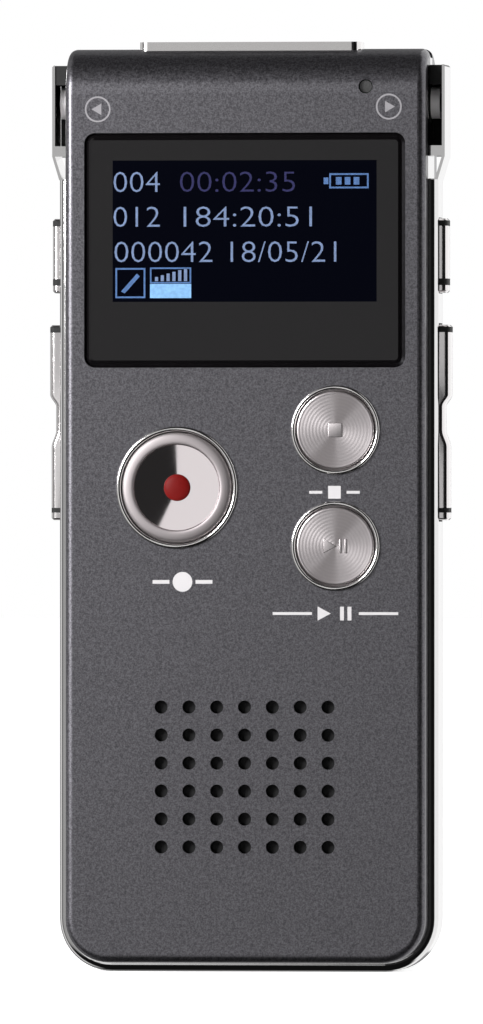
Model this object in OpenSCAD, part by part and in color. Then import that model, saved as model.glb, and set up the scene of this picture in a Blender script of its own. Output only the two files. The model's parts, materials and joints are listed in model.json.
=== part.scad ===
// Handheld voice recorder, standing on its lower end with its face towards -Y.
// The origin is the middle of the footprint, on the surface it stands on; +Z runs up
// along the body to the microphones, and +X is to the right of someone facing it.

/* [Body] */
// Width across the chrome frame
body_w = 40.5; // [39.9:0.1:42]
// Height to the top of the covers
body_h = 98; // [97:0.5:104]
// Depth from the front cover to the rear cover
body_d = 12; // [12:0.1:13]
// Radius of the frame's lower corners, seen from the front
corner_r = 5.6; // [5:0.1:7]
// How far the covers stand in from the outside of the frame
cover_inset = 1; // [0.8:0.1:1.2]
// Radius on which each cover rolls over at the top
roll_r = 4.8; // [4.6:0.1:4.8]
// Thickness of the pressed metal covers
sheet_t = 0.8; // [0.6:0.1:0.8]
// Outside radius along the edges of the covers
edge_r = 0.85; // [0.8:0.05:1.2]

/* [Display window] */
// Width of the window
window_w = 34.2; // [33:0.1:35]
// Height of the window
window_h = 24.8; // [23:0.1:25]
// Height of the window's centre
window_z = 76.57; // [76:0.01:77]
// Width of the lit area of the display
active_w = 28.2; // [27:0.1:29]
// Height of the lit area of the display
active_h = 15; // [14:0.1:15.5]
// Height of the lit area's centre
active_z = 78.6; // [78:0.1:79]

/* [Front buttons] */
// How far the buttons stand proud of the front cover
button_proud = 0.4; // [0.3:0.05:0.5]
// Record button, distance right of the centre line
record_x = -7.23; // [-7.6:0.01:-7]
// Record button, height of its centre
record_z = 51.4; // [51:0.1:52]
// Record button, diameter of the cap
record_d = 11.7; // [11:0.1:12]
// Stop and play buttons, distance right of the centre line
stop_x = 9.7; // [9.4:0.1:10]
// Stop button, height of its centre
stop_z = 57.5; // [57:0.1:58]
// Play button, height of its centre
play_z = 45.2; // [44.8:0.1:45.6]
// Stop and play buttons, diameter of the cap
stop_d = 8.3; // [8:0.1:8.5]
// Height of the raised signs on the stop and play buttons
sign_h = 1.5; // [1.3:0.1:1.8]
// Travel of a front button
front_travel = 0.4; // [0.3:0.05:0.4]

/* [Speaker grille] */
// Holes across
grille_nx = 7; // [5:1:7]
// Holes up
grille_nz = 6; // [4:1:6]
// Distance between hole centres
grille_pitch = 2.97; // [2.9:0.01:3]
// Diameter of a grille hole
grille_d = 1.4; // [1.2:0.1:1.6]
// Height of the grille's centre
grille_z = 20.7; // [20:0.1:22]

/* [Side keys] */
// How far the short keys stand out from the frame
key_proud = 0.91; // [0.8:0.01:1]
// Height of the short keys' lower end
key_low = 72.1; // [71.8:0.1:72.4]
// Height of the short keys' upper end
key_high = 80; // [79.7:0.1:80.3]
// How far the long rocker keys stand out from the frame
rocker_proud = 1.2; // [1:0.05:1.3]
// Height of the rocker keys' lower end
rocker_low = 47.95; // [47.75:0.05:48.15]
// Height of the rocker keys' upper end
rocker_high = 68.7; // [68.5:0.05:68.9]
// Width of the side keys, front to back
key_w = 3.2; // [2.8:0.1:3.4]
// Tilt of a rocker key each way, in degrees
rocker_tilt = 2; // [1:0.5:2]
// Travel of a short key
key_travel = 0.3; // [0.2:0.05:0.3]

/* [Microphones] */
// Height of the capsule's centre
mic_z = 92.3; // [92:0.1:92.6]
// Diameter of the capsule
mic_d = 3.4; // [3:0.1:3.6]
// How far the microphone guards stand out from the frame
guard_proud = 0.75; // [0.6:0.05:0.9]
// Height of the guards' lower end
guard_low = 84.1; // [83.9:0.1:84.3]
// Height of the guards' upper end
guard_high = 96.3; // [96.1:0.1:96.5]

/* [Sockets] */
// Radius of the bore that takes a 3.5 mm plug
jack_r = 1.8; // [1.78:0.01:1.85]
// Distance of each jack from the centre line
jack_x = 5; // [4.6:0.1:5.4]
// Width of the plate the jacks come through
plate_w = 23.6; // [22:0.1:24]
// Depth of that plate, front to back
plate_d = 4.8; // [4.8:0.1:5]
// How far that plate stands above the covers
plate_rise = 0.75; // [0.6:0.05:0.9]

/* [Hidden] */
$fn = 64;

eps = 0.02;
gap = 0.1;
far = 60;

// Front and back planes: the box is centred on the origin with the buttons included.
y_front = (button_proud - body_d) / 2;
y_back = y_front + body_d;
y_mid = (y_front + y_back) / 2;

// The band of frame that shows between the covers.
wall_d = 3;
band_d = body_d - 2 * wall_d;
frame_hw = body_w / 2;
cover_hw = frame_hw - cover_inset;
cover_r = corner_r - cover_inset;
corner_x = frame_hw - corner_r;
roll_z = body_h - roll_r;
roll_y = y_front + roll_r;
band_in = cover_hw - sheet_t - gap;
lip_in = band_in - 0.6;
lip_reach = 1.4;
band_edge = 0.9;
core_r = roll_r - wall_d - gap;

// Depths behind the front face.
lens_back = sheet_t;
panel_front = 1.2;
panel_back = 2.4;
light_back = 3.4;
board_front = 4.5;
board_t = 0.8;
board_back = board_front + board_t;
board_hw = 17.3;
board_low = corner_r - (board_hw - corner_x);
board_top = 95.5;
board_y = y_front + board_back;
notch_hw = 8.6;
notch_z = 84.3;
switch_h = 0.9;
nub_h = 0.15;
switch_top = board_front - switch_h - nub_h;
plunger_tip = switch_top - front_travel - 0.05;
flange_front = 1.3;
flange_t = 0.4;
flange_back = flange_front + flange_t;
mesh_back = 0.95;
gasket_back = 1.25;

// Speaker, and the field of holes in front of it.
speaker_at = [0, grille_z];
speaker_r = 10;
coil_r = 3;
field_w = (grille_nx - 1) * grille_pitch + grille_d + 1.2;
field_h = (grille_nz - 1) * grille_pitch + grille_d + 1.2;

// Caps of the front buttons.
record_r = record_d / 2;
record_flange_r = 6.6;
dish_r = 4.6;
dish_floor = 0.75;
jewel_r = 1.5;
stop_r = stop_d / 2;
stop_flange_r = 5;
cap_proud = 0.2;
sign_proud = 0.32;

// Outer and inner radius of the trim rings, and how they stand in the cover.
record_ring = [6.5, 5.97];
stop_ring = [4.75, 4.28];
ring_proud = 0.32;
ring_sleeve = 0.2;

// Side keys.
key_y = y_mid;
key_root = 18.3;
key_flange = [17.9, 18.5];
slot_clear = 0.08;
pocket_clear = 0.6;
flange_lip = 0.45;
end_edge = 0.2;
groove_d = 0.3;
key_groove = [0.8, 1.5];
rocker_groove = [0.75, 1.3];
rocker_pin_x = 19.15;
rocker_pin_r = 0.6;
pin_clear = 0.05;
pin_reach = 0.6;
rocker_mid = (rocker_low + rocker_high) / 2;
rocker_clear = 0.16;
switch_arm = 8.5;

// Microphone guards.
guard_out = frame_hw + guard_proud;
guard_t = 0.3;
guard_in = guard_out - guard_t;
guard_d = 5.6;
guard_bar = [86.6, 87.7];
guard_root = cover_hw + 0.05;
plug_low = 94.2;
plug_inset = 0.12;
boot_r = mic_d / 2 + 0.5;

// Sockets.
plate_bottom = body_h - 0.8;
plate_top = body_h + plate_rise;
plate_x = 0.1;
jack_low = 84.9;
jack_w = 6.2;
jack_d = 4.8;
collar_r = 2.1;
usb_w = 8.2;
usb_d = 2.8;
usb_len = 5.8;
usb_y = y_front + board_back + usb_d / 2;
usb_wall = 0.3;

// Places of the screws, their lugs and the reset hole.
board_screw_at = [[-15.8, 11.5], [15.8, 11.5], [-15.8, 62.3], [15.8, 62.3]];
cover_screw_at = [[-15.9, 7.2], [15.9, 7.2], [-15.9, 82.6], [15.9, 82.6]];
lug_r = 1.4;
screw_r = 0.55;
screw_hole_r = 0.6;
head_r = 1.2;
reset_at = [-8, 57];
battery_w = 28;
battery_h = 40;
battery_t = 4.4;
battery_low = 9;
battery_y = board_y + 0.3;
led_at = [12.9, 93.9];
led_hole_r = 0.75;

// ---------------------------------------------------------------- helpers

// Extrudes an outline drawn in x and z from depth d0 to d1 behind the front face.
module slab(d0, d1) {
    translate([0, y_front + d1, 0]) rotate([90, 0, 0]) linear_extrude(d1 - d0) children();
}

// A disc or drum whose axis runs front to back, between two depths.
module drum(at, r, d0, d1) {
    translate([at[0], y_front + d1, at[1]]) rotate([90, 0, 0]) cylinder(r = r, h = d1 - d0);
}

// A box given by its low and high corners.
module block(low, high) {
    translate(low) cube(high - low);
}

// A rounded rectangle centred on the origin.
module rounded_rect(w, h, r) {
    square([w - 2 * r, h], center = true);
    square([w, h - 2 * r], center = true);
    for (sx = [-1, 1], sy = [-1, 1]) {
        translate([sx * (w / 2 - r), sy * (h / 2 - r)]) circle(r);
    }
}

// Revolves a profile drawn as radius and depth about an axis that runs front to back.
module turned(at) {
    translate([at[0], y_front, at[1]]) rotate([-90, 0, 0]) rotate_extrude() children();
}

// Everything on the left is the mirror image of what is on the right.
module on_left() {
    mirror([1, 0, 0]) children();
}

// The rear half of the case is the mirror image of the front half.
module on_back() {
    translate([0, 2 * y_mid, 0]) mirror([0, 1, 0]) children();
}

// One edge of a cover in section: u is measured outwards and v backwards from the face.
module edge_section(w) {
    difference() {
        union() {
            translate([0, edge_r]) square([w, wall_d - edge_r]);
            square([w - edge_r, wall_d]);
            translate([w - edge_r, edge_r]) circle(edge_r);
        }
        translate([-eps, sheet_t]) square([w - sheet_t + eps, wall_d]);
    }
}

// The whole cover in section, from one side wall to the other.
module cover_section() {
    edge_section(cover_hw);
    mirror([1, 0]) edge_section(cover_hw);
}

// The pressed shell of one cover: a straight trough, rolled over at the top and closed
// round the lower end.
module cover_shell() {
    translate([0, y_front, corner_r]) linear_extrude(roll_z - corner_r) cover_section();
    translate([0, roll_y, roll_z]) rotate([90, 0, -90])
        rotate_extrude(angle = 90) translate([roll_r, 0]) rotate(90) cover_section();
    for (s = [0, 1]) mirror([s, 0, 0]) translate([corner_x, y_front, corner_r])
        rotate([-90, 0, 0]) rotate_extrude(angle = 90) edge_section(cover_r);
    translate([-corner_x, y_front, corner_r]) rotate([0, 90, 0])
        linear_extrude(2 * corner_x) edge_section(cover_r);
}

// One side of the frame in section, drawn as distance out from the corner's centre and
// depth behind the front face: the band that shows, and the lip inside the covers.
module frame_section() {
    v0 = wall_d + gap / 2;
    v1 = body_d - v0;
    u0 = band_in - corner_x;
    translate([u0, v0]) square([corner_r - band_edge - u0, v1 - v0]);
    translate([u0, v0 + band_edge]) square([corner_r - u0, v1 - v0 - 2 * band_edge]);
    for (v = [v0 + band_edge, v1 - band_edge]) translate([corner_r - band_edge, v]) circle(band_edge);
    translate([lip_in - corner_x, wall_d - lip_reach])
        square([band_in - lip_in, band_d + 2 * lip_reach]);
}

// The shape of the frame's wall where the covers roll over it, drawn in y and z.
module crown_outline() {
    for (y = [roll_y, 2 * y_mid - roll_y]) translate([y, roll_z]) circle(core_r);
    translate([roll_y, roll_z - core_r]) square([2 * (y_mid - roll_y), 2 * core_r]);
    translate([roll_y + gap, roll_z]) square([2 * (y_mid - roll_y - gap), roll_r - gap]);
}

// What the frame loses at its upper corner, to follow the rounded corner of the covers.
module crown_corner() {
    inset = edge_r + gap;
    difference() {
        block([cover_hw - inset, y_front, body_h - inset], [cover_hw + 1, y_back, body_h + 1]);
        translate([cover_hw - inset, y_back + 1, body_h - inset]) rotate([90, 0, 0])
            cylinder(r = edge_r, h = body_d + 2);
    }
}

// Extrudes an outline drawn in y and z from x0 to x1.
module side_slab(x0, x1) {
    translate([x0, 0, 0]) rotate([90, 0, 90]) linear_extrude(x1 - x0) children();
}

// A rod whose axis runs left to right.
module cross_rod(y, z, r, x0, x1) {
    translate([x0, y, z]) rotate([0, 90, 0]) cylinder(r = r, h = x1 - x0);
}

// ---------------------------------------------------------------- case

module front_cover() {
    color("dimgray") difference() {
        cover_shell();
        slab(-1, 1) {
            translate([0, window_z]) rounded_rect(window_w + gap, window_h + gap, 1.15);
            for (i = [0:grille_nx - 1], k = [0:grille_nz - 1]) {
                translate([
                    (i - (grille_nx - 1) / 2) * grille_pitch,
                    grille_z + (k - (grille_nz - 1) / 2) * grille_pitch
                ]) circle(grille_d / 2);
            }
        }
        drum([record_x, record_z], record_ring[0] - ring_sleeve + gap / 2, -1, 1.5);
        drum([stop_x, stop_z], stop_ring[0] - ring_sleeve + gap / 2, -1, 1.5);
        drum([stop_x, play_z], stop_ring[0] - ring_sleeve + gap / 2, -1, 1.5);
        drum(led_at, led_hole_r, -1, 2);
        plate_room();
    }
}

module rear_cover() {
    color("dimgray") difference() {
        on_back() cover_shell();
        for (at = cover_screw_at) {
            drum(at, screw_r + 0.2, body_d - 2, body_d + 1);
            translate([at[0], y_back - 0.65, at[1]]) rotate([-90, 0, 0])
                cylinder(r1 = screw_r + 0.2, r2 = head_r + 0.15, h = 0.7);
        }
        drum(reset_at, 0.5, body_d - 2, body_d + 1);
        plate_room();
    }
}

// The space that the jack plate takes out of the rolled tops of both covers.
module plate_room() {
    block([plate_x - plate_w / 2 - gap, y_mid - plate_d / 2 - gap, plate_bottom - 1],
          [plate_x + plate_w / 2 + gap, y_mid + plate_d / 2 + gap, body_h + 2]);
}

// Slot, inner pocket and wall opening for one side key.
module key_cut(z0, z1, pocket_out) {
    slot_hd = key_w / 2 + slot_clear;
    pocket_hd = key_w / 2 + pocket_clear;
    block([lip_in - 1, key_y - slot_hd, z0], [frame_hw + 1, key_y + slot_hd, z1]);
    block([lip_in - 1, key_y - pocket_hd, z0 - pocket_clear],
          [pocket_out, key_y + pocket_hd, z1 + pocket_clear]);
}

// The frame's right side: the straight wall, its lower corner, and the wall and shelf
// under the rolled tops of the covers.

module frame_side() {
    translate([corner_x, y_front, corner_r]) linear_extrude(roll_z - corner_r) frame_section();
    translate([corner_x, y_front, corner_r]) rotate([-90, 0, 0])
        rotate_extrude(angle = 90) frame_section();
    side_slab(lip_in, cover_hw) crown_outline();
    block([9, roll_y + gap, body_h - 1.6], [cover_hw, 2 * y_mid - roll_y - gap, body_h - gap]);
}

// A lug from the frame's wall, reaching from one depth to another.
module lug(at, d0, d1) {
    drum(at, lug_r, d0, d1);
    s = sign(at[0]);
    x0 = min(at[0], s * (lip_in + 0.3));
    x1 = max(at[0], s * (lip_in + 0.3));
    y1 = y_front + min(d1, body_d - wall_d + lip_reach);
    block([x0, y_front + d0, at[1] - lug_r * 0.7], [x1, y1, at[1] + lug_r * 0.7]);
}

module mid_frame() {
    color("silver") difference() {
        union() {
            for (s = [0, 1]) mirror([s, 0, 0]) frame_side();
            translate([-corner_x, y_front, corner_r]) rotate([0, 90, 0])
                linear_extrude(2 * corner_x) frame_section();
            for (at = board_screw_at) lug(at, wall_d - lip_reach, board_front - 0.05);
            for (at = cover_screw_at) lug(at, board_back + 0.5, body_d - sheet_t - 0.1);
        }
        for (s = [0, 1]) mirror([s, 0, 0]) {
            block([cover_hw, y_front, guard_low], [far, y_back, body_h + 1]);
            crown_corner();
            key_cut(key_low - slot_clear, key_high + slot_clear, key_flange[1] + gap);
            key_cut(rocker_low - rocker_clear, rocker_high + rocker_clear, key_root);
            cross_rod(y_mid, mic_z, boot_r + 0.05, 0, far);
            translate([rocker_pin_x, key_y, rocker_mid]) rotate([90, 0, 0])
                cylinder(r = rocker_pin_r + pin_clear, h = key_w + 2 * pin_reach + 0.2, center = true);
        }
        block([-usb_w / 2 - 0.2, usb_y - usb_d / 2 - 0.2, -1],
              [usb_w / 2 + 0.2, usb_y + usb_d / 2 + 0.2, 4]);
        block([plate_x - plate_w / 2 - gap, y_front, plate_bottom - 0.05],
              [plate_x + plate_w / 2 + gap, y_back, far * 2]);
        for (at = board_screw_at) drum(at, screw_hole_r, 2, board_back);
        for (at = cover_screw_at) drum(at, screw_hole_r, board_back + 1, body_d);
    }
}

module jack_plate() {
    color("silver") difference() {
        translate([plate_x, y_mid, plate_bottom]) linear_extrude(plate_top - plate_bottom)
            rounded_rect(plate_w, plate_d, 0.9);
        for (s = [-1, 1]) translate([s * jack_x, y_mid, plate_bottom - 1])
            cylinder(r = collar_r + 0.05, h = 4);
    }
}

// A bright ring let into the front cover round a button, with a rounded lip.
module trim_ring(at, radii) {
    bead_r = (radii[0] - radii[1]) / 2;
    color("gainsboro") turned(at) {
        translate([radii[1], 0]) square([2 * bead_r - ring_sleeve, 1.1]);
        intersection() {
            translate([radii[1] + bead_r, bead_r - ring_proud]) circle(bead_r);
            translate([radii[1], -ring_proud]) square([2 * bead_r, ring_proud]);
        }
    }
}
module record_trim_ring() { trim_ring([record_x, record_z], record_ring); }
module stop_trim_ring() { trim_ring([stop_x, stop_z], stop_ring); }
module play_trim_ring() { trim_ring([stop_x, play_z], stop_ring); }

// ---------------------------------------------------------------- display

module display_lens() {
    color([0.1, 0.1, 0.12]) slab(0, lens_back)
        translate([0, window_z]) rounded_rect(window_w, window_h, 1.1);
}

module display_gasket() {
    color("black") slab(lens_back, panel_front) difference() {
        translate([0, window_z]) square([window_w + 1.2, window_h + 0.6], center = true);
        translate([0, active_z]) square([active_w + 0.8, active_h + 0.8], center = true);
    }
}

module display_panel() {
    color("midnightblue") slab(panel_front, panel_back)
        translate([-15.5, 68.2]) square([31, 18.8]);
}

module display_backlight() {
    color("white") slab(panel_back, light_back)
        translate([-15.5, 69.4]) square([31, 17.6]);
}

// The ribbon from the display's lower edge, folded back to the main board.
module display_flex() {
    ribbon_t = 0.12;
    d_panel = 2;
    bend_r = (board_front - d_panel) / 2;
    fold_z = 67;
    color("orange") {
        slab(d_panel, d_panel + ribbon_t) translate([-6, fold_z]) square([12, 1.2]);
        slab(board_front - ribbon_t, board_front) translate([-6, fold_z]) square([12, 2]);
        translate([-6, y_front + d_panel + bend_r, fold_z]) rotate([0, 90, 0]) rotate([0, 0, -90])
            rotate_extrude(angle = 180) translate([bend_r - ribbon_t, 0]) square([ribbon_t, 12]);
    }
}

module indicator_light_pipe() {
    color("whitesmoke") drum(led_at, led_hole_r - 0.1, 0.45, board_front - 0.7);
}

module indicator_led() {
    color("white") slab(board_front - 0.6, board_front)
        translate([led_at[0] - 0.8, led_at[1] - 0.4]) square([1.6, 0.8]);
}

// ---------------------------------------------------------------- speaker

module speaker_mesh() {
    color([0.08, 0.08, 0.08]) slab(sheet_t, mesh_back)
        translate(speaker_at) square([field_w, field_h], center = true);
}

module speaker_gasket() {
    color("black") slab(mesh_back, gasket_back) difference() {
        translate(speaker_at) square([field_w + 0.6, field_h + 0.6], center = true);
        translate(speaker_at) circle(speaker_r - 1.2);
    }
}

module speaker_basket() {
    color("dimgray") turned(speaker_at) {
        translate([speaker_r - 1, gasket_back]) square([1, 2.2]);
        translate([5.2, 3.1]) square([speaker_r - 5.2, 0.35]);
    }
}

module speaker_cone() {
    rim_r = speaker_r - 1.05;
    color([0.15, 0.15, 0.15]) turned(speaker_at) {
        polygon([
            [0, 1.9], [coil_r, 2.5], [rim_r, 1.4], [rim_r, 1.55], [coil_r + 0.3, 2.62],
            [coil_r + 0.3, 3], [coil_r, 3], [coil_r, 2.65], [0, 2.05]
        ]);
    }
}

module speaker_magnet() {
    color("silver") drum(speaker_at, 5.1, 3.05, 4.3);
}

module speaker_leads() {
    for (s = [-1, 1]) color(s < 0 ? "red" : "black")
        translate([s * 1.5, y_front + 3.9, grille_z + 6.2]) cylinder(r = 0.25, h = 7.5);
}

// ---------------------------------------------------------------- main board

module main_board() {
    color("darkgreen") difference() {
        slab(board_front, board_back) {
            translate([-board_hw, corner_r]) square([2 * board_hw, board_top - corner_r]);
            translate([-corner_x, board_low]) square([2 * corner_x, corner_r - board_low]);
            for (s = [-1, 1]) translate([s * corner_x, corner_r]) circle(board_hw - corner_x);
        }
        block([-notch_hw, y_front, notch_z], [notch_hw, y_back, far * 2]);
        for (at = board_screw_at) drum(at, screw_r + 0.2, 0, body_d);
    }
}

// A chip with a row of legs along both long sides.
module leaded_chip(at, w, h, t, legs) {
    y0 = y_front + board_back;
    leg_hl = 0.45;
    leg_hw = 0.12;
    color([0.12, 0.12, 0.12]) block([at[0] - w / 2, y0 + 0.05, at[1] - h / 2],
                                    [at[0] + w / 2, y0 + t, at[1] + h / 2]);
    color("silver") for (s = [-1, 1], i = [0:legs - 1]) {
        x = at[0] + s * (w / 2 + 0.35);
        z = at[1] + (i - (legs - 1) / 2) * (h - 0.8) / (legs - 1);
        block([x - leg_hl, y0, z - leg_hw], [x + leg_hl, y0 + 0.2, z + leg_hw]);
    }
}

module processor_chip() { leaded_chip([0, 59], 7, 7, 1, 12); }
module memory_chip() { leaded_chip([0, 72], 9, 12, 1, 12); }

module clock_crystal() {
    color("silver") slab(board_back, board_back + 1.1) translate([9.5, 56]) rounded_rect(4.4, 1.9, 0.9);
}

// Rows of small resistors and capacitors on the rear of the board.
module small_components() {
    y0 = y_front + board_back;
    for (i = [0:7], k = [0:1]) color(k == 0 ? "tan" : "black")
        block([-12 + i * 3.3, y0, 52 + k * 12], [-11 + i * 3.3, y0 + 0.5, 52.6 + k * 12]);
    for (i = [0:5]) color("tan")
        block([-8 + i * 3, y0, 80.6], [-7.2 + i * 3, y0 + 0.6, 82.2]);
}

// ---------------------------------------------------------------- battery

module battery_cell() {
    color("lightgray") translate([0, 0, battery_low + battery_h / 2]) {
        translate([0, y_front + board_back + 0.3 + battery_t, 0]) rotate([90, 0, 0])
            linear_extrude(battery_t) rounded_rect(battery_w, battery_h, 1);
    }
}

module battery_board() {
    color("green") block([-9, battery_y + 1.4, battery_low + battery_h],
                         [9, battery_y + 2.4, battery_low + battery_h + 2.2]);
}

module battery_leads() {
    for (s = [-1, 1]) color(s < 0 ? "red" : "black")
        drum([s * 6, battery_low + battery_h + 1.1], 0.35, board_back, board_back + 1.7);
}

module battery_pad() {
    color("darkslategray") block([-9, battery_y + battery_t, battery_low + 6],
                                 [9, y_back - sheet_t, battery_low + battery_h - 6]);
}

// ---------------------------------------------------------------- sockets

module usb_socket() {
    color("silver") difference() {
        translate([0, usb_y, 0.25]) linear_extrude(usb_len) rounded_rect(usb_w, usb_d, 0.6);
        translate([0, usb_y, 0]) linear_extrude(usb_len - 0.3)
            rounded_rect(usb_w - 2 * usb_wall, usb_d - 2 * usb_wall, 0.4);
    }
}

module usb_tongue() {
    color("black") block([-2.6, usb_y - 0.2, 1.4], [2.6, usb_y + 0.4, usb_len - 0.3]);
}

// A 3.5 mm socket: a moulded body, the collar round its mouth, and its contacts.
module jack(x) {
    color([0.1, 0.1, 0.1]) difference() {
        union() {
            block([x - jack_w / 2, y_mid - jack_d / 2, jack_low],
                  [x + jack_w / 2, y_mid + jack_d / 2, plate_bottom - gap]);
            translate([x, y_mid, plate_bottom - 1])
                cylinder(r = collar_r, h = plate_top - plate_bottom + 0.95);
        }
        translate([x, y_mid, jack_low + 0.6]) cylinder(r = jack_r, h = 20);
    }
    color("gold") for (s = [-1, 1])
        block([x + s * 1.6 - 0.3, y_mid - 0.4, jack_low - 0.7],
              [x + s * 1.6 + 0.3, y_mid + 0.4, jack_low]);
}
module earphone_jack() { jack(jack_x); }
module line_in_jack() { jack(-jack_x); }

// ---------------------------------------------------------------- microphones

// The guard over one microphone: an outer strip, a bar under the capsule, and a leg that
// runs in to the frame's shoulder.
module guard() {
    color("silver") translate([0, y_mid + guard_d / 2, 0]) rotate([90, 0, 0])
        linear_extrude(guard_d) difference() {
            polygon([
                [guard_root, guard_low], [frame_hw, guard_low], [guard_out, guard_bar[0]],
                [guard_out, guard_high - 0.2], [guard_out - 0.2, guard_high], [guard_in, guard_high],
                [guard_in, guard_bar[1]], [guard_root, guard_bar[1]]
            ]);
            polygon([
                [guard_root - 1, guard_low + gap], [frame_hw - guard_t, guard_low + gap],
                [guard_in, guard_bar[0]], [guard_root - 1, guard_bar[0]]
            ]);
        }
}
module right_mic_guard() { guard(); }
module left_mic_guard() { on_left() guard(); }

module capsule() {
    color("gainsboro") {
        cross_rod(y_mid, mic_z, mic_d / 2, 17.5, 20.3);
        for (s = [-1, 1]) cross_rod(y_mid, mic_z + s * 0.6, 0.2, 17.2, 17.5);
    }
}
module right_mic_capsule() { capsule(); }
module left_mic_capsule() { on_left() capsule(); }

// The rubber boot that holds a capsule in the frame, with a baffle behind the capsule and
// a plug that closes the top of the guard.
module boot() {
    boot_out = cover_hw + 0.1;
    plug_hd = guard_d / 2 - plug_inset;
    color([0.12, 0.12, 0.12]) {
        difference() {
            cross_rod(y_mid, mic_z, boot_r, lip_in, boot_out);
            cross_rod(y_mid, mic_z, mic_d / 2, 0, far);
        }
        block([cover_hw + eps, y_mid + mic_d / 2 + gap, guard_bar[1] + 0.05],
              [guard_in - 0.05, y_mid + mic_d / 2 + 0.6, plug_low]);
        block([boot_out, y_mid - plug_hd, plug_low],
              [guard_in - 0.05, y_mid + plug_hd, guard_high - 0.05]);
    }
}
module right_mic_boot() { boot(); }
module left_mic_boot() { on_left() boot(); }

module mic_leads() {
    for (s = [-1, 1], k = [-1, 1]) color(k < 0 ? "red" : "black")
        cross_rod(board_y + 0.15, mic_z + k * 0.6, 0.15, s > 0 ? 14.6 : -17.15, s > 0 ? 17.15 : -14.6);
}

// ---------------------------------------------------------------- switches

// A tact switch on the front of the board.
module tact(at) {
    color("silver") slab(board_front - switch_h, board_front)
        translate(at) square([3.4, 3.4], center = true);
    color("black") drum(at, 0.9, switch_top, board_front - switch_h);
}
module record_switch() { tact([record_x, record_z]); }
module stop_switch() { tact([stop_x, stop_z]); }
module play_switch() { tact([stop_x, play_z]); }

// A switch on the rear of the board that is pressed from the side, and how far out its
// pin reaches: just short of the key when the key is fully in.
module side_tact(z, tip) {
    color("silver") block([14.9, board_y, z - 1.6], [17.1, board_y + 1.4, z + 1.6]);
    color("black") block([17.1, board_y + 0.3, z - 0.6], [tip, board_y + 1.1, z + 0.6]);
}
module side_key_switches() {
    for (s = [0, 1]) mirror([s, 0, 0])
        side_tact((key_low + key_high) / 2, key_flange[0] - key_travel - 0.05);
}
module rocker_switches() {
    for (s = [0, 1], k = [-1, 1]) mirror([s, 0, 0])
        side_tact(rocker_mid + k * switch_arm, key_root - switch_arm * sin(rocker_tilt) - 0.05);
}
module reset_switch() {
    color("silver") block([reset_at[0] - 1.5, board_y, reset_at[1] - 1.2],
                          [reset_at[0] + 1.5, board_y + 1.2, reset_at[1] + 1.2]);
    color("black") drum(reset_at, 0.4, board_back + 1.2, board_back + 1.6);
}

// ---------------------------------------------------------------- screws

// A cross cut in a screw head, at the given depth range.
module cross_cut(at, y0, y1) {
    block([at[0] - 0.7, y0, at[1] - 0.12], [at[0] + 0.7, y1, at[1] + 0.12]);
    block([at[0] - 0.12, y0, at[1] - 0.7], [at[0] + 0.12, y1, at[1] + 0.7]);
}

module board_screws() {
    color("silver") for (at = board_screw_at) difference() {
        union() {
            drum(at, screw_r, 2.1, board_back);
            drum(at, head_r, board_back, board_back + 0.7);
        }
        cross_cut(at, y_front + board_back + 0.4, y_back);
    }
}

module cover_screws() {
    color("dimgray") for (at = cover_screw_at) difference() {
        union() {
            drum(at, screw_r, board_back + 1.1, body_d - 0.5);
            translate([at[0], y_back - 0.65, at[1]]) rotate([-90, 0, 0])
                cylinder(r1 = screw_r + 0.1, r2 = head_r, h = 0.6);
        }
        cross_cut(at, y_back - 0.3, y_back + 1);
    }
}

// ---------------------------------------------------------------- front buttons

// The record button's cap: a satin ring round a cup for the dish, with a flange behind.
module record_button() {
    color("gainsboro") turned([record_x, record_z]) polygon([
        [dish_r, -0.3], [dish_r + 0.3, -button_proud], [record_r - 0.55, -button_proud],
        [record_r, -0.05], [record_r, flange_front], [record_flange_r, flange_front],
        [record_flange_r, flange_back], [0, flange_back], [0, dish_floor], [dish_r, dish_floor]
    ]);
}

module record_button_dish() {
    dish_sphere_r = 17;
    color("silver") turned([record_x, record_z]) difference() {
        translate([jewel_r, -0.28]) square([dish_r - 0.02 - jewel_r, dish_floor + 0.28]);
        translate([0, 0.38 - dish_sphere_r]) circle(dish_sphere_r, $fn = 128);
    }
}

module record_jewel() {
    dome_r = 3.2;
    color("firebrick") turned([record_x, record_z]) intersection() {
        translate([0, -0.15]) square([jewel_r - 0.02, dish_floor + 0.15]);
        translate([0, dome_r - 0.12]) circle(dome_r);
    }
}

// A rubber pin between a button and its switch.
module plunger(at, r) {
    color([0.15, 0.15, 0.15]) turned(at) {
        translate([0, flange_back]) square([r + 0.6, 0.4]);
        translate([0, flange_back + 0.4]) square([r, plunger_tip - flange_back - 0.4]);
    }
}
module record_plunger() { plunger([record_x, record_z], 1.2); }
module stop_plunger() { plunger([stop_x, stop_z], 0.9); }
module play_plunger() { plunger([stop_x, play_z], 0.9); }

// The turned cap of the stop and play buttons.
module round_cap(at) {
    turned(at) polygon([
        [0, -cap_proud], [stop_r - 0.25, -cap_proud], [stop_r, 0], [stop_r, flange_front],
        [stop_flange_r, flange_front], [stop_flange_r, flange_back], [0, flange_back]
    ]);
}

module stop_button() {
    color("gainsboro") {
        round_cap([stop_x, stop_z]);
        slab(-sign_proud, 0) translate([stop_x, stop_z]) square(sign_h, center = true);
    }
}

module play_button() {
    color("gainsboro") {
        round_cap([stop_x, play_z]);
        slab(-sign_proud, 0) translate([stop_x, play_z]) scale(sign_h) {
            polygon([[-0.83, -0.5], [-0.83, 0.5], [0.1, 0]]);
            for (x = [0.28, 0.66]) translate([x, -0.5]) square([0.17, 1]);
        }
    }
}

// ---------------------------------------------------------------- side keys

// Extrudes a key's outline, drawn in x and z, over the width of the side keys.
module key_slab() {
    translate([0, key_y + key_w / 2, 0]) rotate([90, 0, 0]) linear_extrude(key_w) children();
}

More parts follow.
